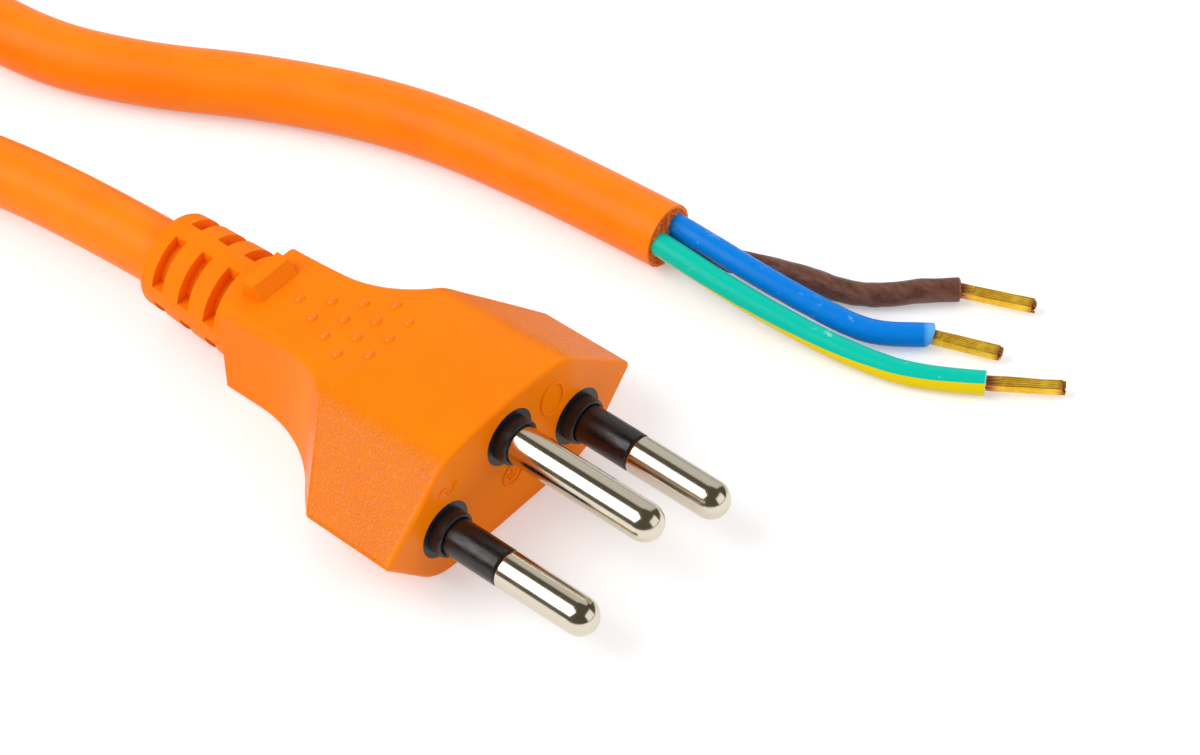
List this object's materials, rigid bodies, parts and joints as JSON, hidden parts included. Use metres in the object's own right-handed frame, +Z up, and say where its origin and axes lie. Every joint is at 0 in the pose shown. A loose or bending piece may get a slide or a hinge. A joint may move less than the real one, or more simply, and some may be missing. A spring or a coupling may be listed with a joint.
{
  "type": "power cord",
  "caption": "Orange mains cord with a flat moulded round-pin plug, dotted grip and slotted strain relief, a put-away coil, and stripped coloured cores with bare conductors at the free end.",
  "frame": {"origin": "middle of the plug's box with its pins, at the surface that the plug and the cord lie on", "axes": "+X to the plug's right seen from behind the plug, +Y from the pins back along the plug towards the cord, +Z up"},
  "size_m": [0.0938, 0.2357, 0.0193],
  "materials": {
    "orange_plug": "soft moulded PVC with a fine leather grain",
    "orange_jacket": "satin extruded PVC",
    "black_insert": "matte",
    "black_sleeve": "glossy, scuffed",
    "nickel_pin": "nickel-plated brass, polished",
    "blue_insulation": "satin PVC",
    "brown_insulation": "satin PVC",
    "green_yellow_insulation": "satin PVC, green with a yellow stripe",
    "copper": "bright compacted strands"
  },
  "bodies": {
    "root": {"plug_body": "orange_plug", "pin_carrier": "black_insert", "line_pin": "nickel_pin", "neutral_pin": "nickel_pin", "earth_pin": "nickel_pin", "line_pin_sleeve": "black_sleeve", "neutral_pin_sleeve": "black_sleeve", "blue_core_in_plug": "blue_insulation", "brown_core_in_plug": "brown_insulation", "green_yellow_core_in_plug": "green_yellow_insulation", "blue_conductor_in_plug": "copper", "brown_conductor_in_plug": "copper", "earth_conductor_in_plug": "copper", "cord_plug_stretch": "orange_jacket", "cord_coil": "orange_jacket", "cord_far_stretch": "orange_jacket", "blue_core": "blue_insulation", "brown_core": "brown_insulation", "green_yellow_core": "green_yellow_insulation", "blue_conductor": "copper", "brown_conductor": "copper", "earth_conductor": "copper"}
  },
  "joints": []
}
